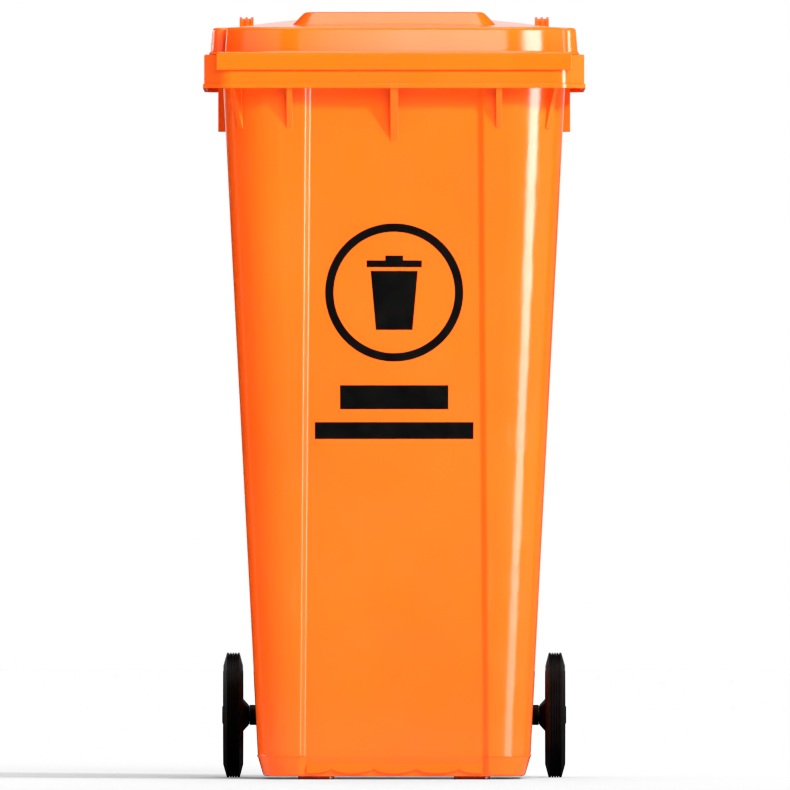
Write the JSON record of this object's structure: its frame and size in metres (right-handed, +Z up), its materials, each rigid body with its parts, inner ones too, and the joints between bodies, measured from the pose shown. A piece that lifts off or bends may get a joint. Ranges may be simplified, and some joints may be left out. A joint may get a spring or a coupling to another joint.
{
  "type": "wheeled waste bin",
  "caption": "Tall tapered plastic waste bin with a hinged lid, a rear handle bar and wheels on a steel axle, for collecting clinical waste.",
  "frame": {"origin": "on the floor under the middle of the bin's overall box", "axes": "+Z up, the front of the bin faces -Y, the handle and the hinge are at +Y, and +X is the bin's right as seen from the front"},
  "size_m": [0.47, 0.55, 0.945],
  "materials": {
    "body_plastic": "glossy injection-moulded polyethylene, orange",
    "lid_plastic": "glossy injection-moulded polyethylene, orange",
    "print_ink": "black screen-printed ink",
    "pin_plastic": "moulded polyamide, orange",
    "wheel_plastic": "moulded polypropylene, black",
    "tyre_rubber": "solid rubber, black",
    "bush_plastic": "moulded acetal, black",
    "steel": "bright zinc-plated steel"
  },
  "bodies": {
    "bin": {"body_shell": "body_plastic", "axle_rod": "steel", "left_hinge_pin": "pin_plastic", "left_axle_spacer": "wheel_plastic", "left_axle_washer": "steel", "left_retaining_ring": "steel", "right_hinge_pin": "pin_plastic", "right_axle_spacer": "wheel_plastic", "right_axle_washer": "steel", "right_retaining_ring": "steel"},
    "lid": {"lid_shell": "lid_plastic"},
    "left_wheel": {"left_wheel_core": "wheel_plastic", "left_tyre": "tyre_rubber", "left_inner_bush": "bush_plastic", "left_outer_bush": "bush_plastic", "left_hub_cap": "wheel_plastic"},
    "right_wheel": {"right_wheel_core": "wheel_plastic", "right_tyre": "tyre_rubber", "right_inner_bush": "bush_plastic", "right_outer_bush": "bush_plastic", "right_hub_cap": "wheel_plastic"}
  },
  "joints": [
    {"name": "lid_hinge", "type": "hinge", "parent": "bin", "child": "lid", "pos_m": [0, 0.259, 0.905], "axis": [-1, 0, 0], "range_deg": [0, 268]},
    {"name": "left_wheel_spin", "type": "hinge", "parent": "bin", "child": "left_wheel", "pos_m": [-0.19965, 0.185, 0.0772], "axis": [1, 0, 0], "continuous": true},
    {"name": "right_wheel_spin", "type": "hinge", "parent": "bin", "child": "right_wheel", "pos_m": [0.19965, 0.185, 0.0772], "axis": [1, 0, 0], "continuous": true}
  ]
}
